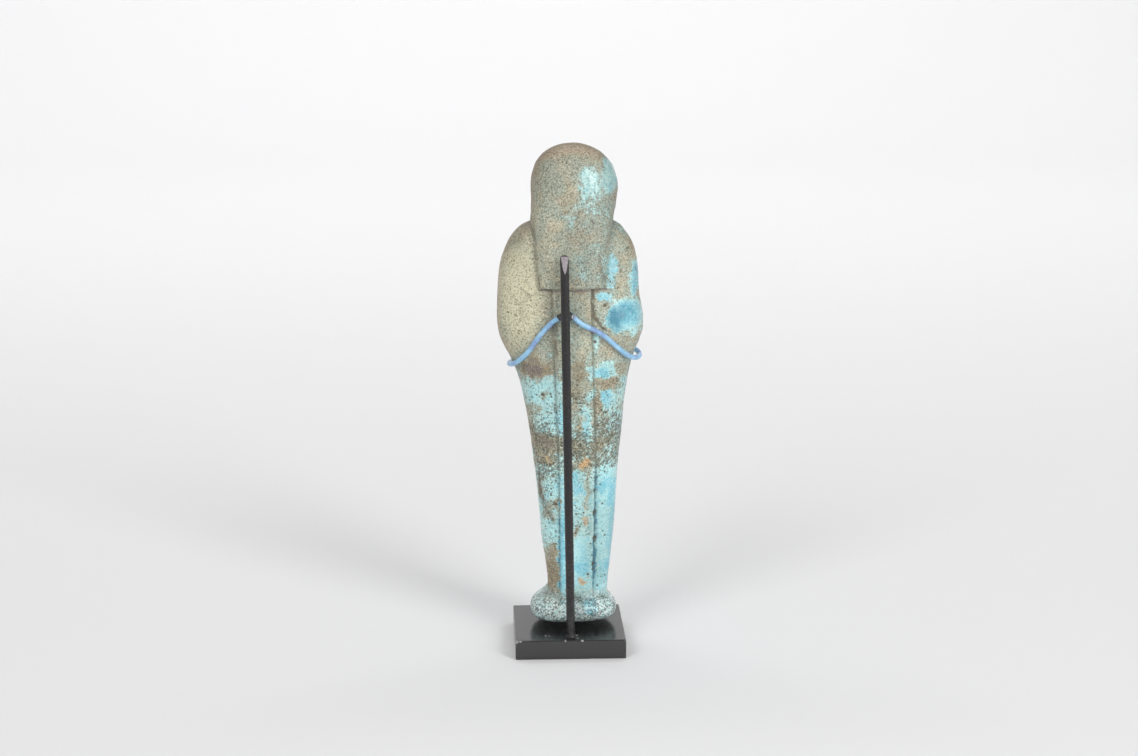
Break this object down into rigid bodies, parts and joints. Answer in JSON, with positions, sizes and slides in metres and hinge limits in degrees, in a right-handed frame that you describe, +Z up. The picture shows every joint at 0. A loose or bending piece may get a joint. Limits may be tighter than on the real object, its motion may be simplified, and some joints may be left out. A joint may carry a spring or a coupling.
{
  "type": "ushabti figurine",
  "caption": "Mummy-shaped glazed faience figurine with a plain tripartite wig and back pillar, held upright by a black plate, thin rod and bent wire cradle.",
  "frame": {"origin": "middle of the foot plate's underside", "axes": "+Z up along the figurine's height; the figurine looks along -Y, so its back, the rod and the middle of the cradle are on the +Y side; +X is the figurine's left"},
  "size_m": [0.0525, 0.0432, 0.1841],
  "materials": {
    "faience": "weathered turquoise glaze, worn to a grey-khaki body, half gloss",
    "black_paint": "black satin paint, worn at the edges",
    "rod_paint": "black satin paint, the ground tip greyer",
    "blue_paint": "light blue hand-brushed paint, scuffed"
  },
  "bodies": {
    "root": {"figurine": "faience", "foot_plate": "black_paint", "support_rod": "rod_paint", "cradle_wire": "blue_paint"}
  },
  "joints": []
}
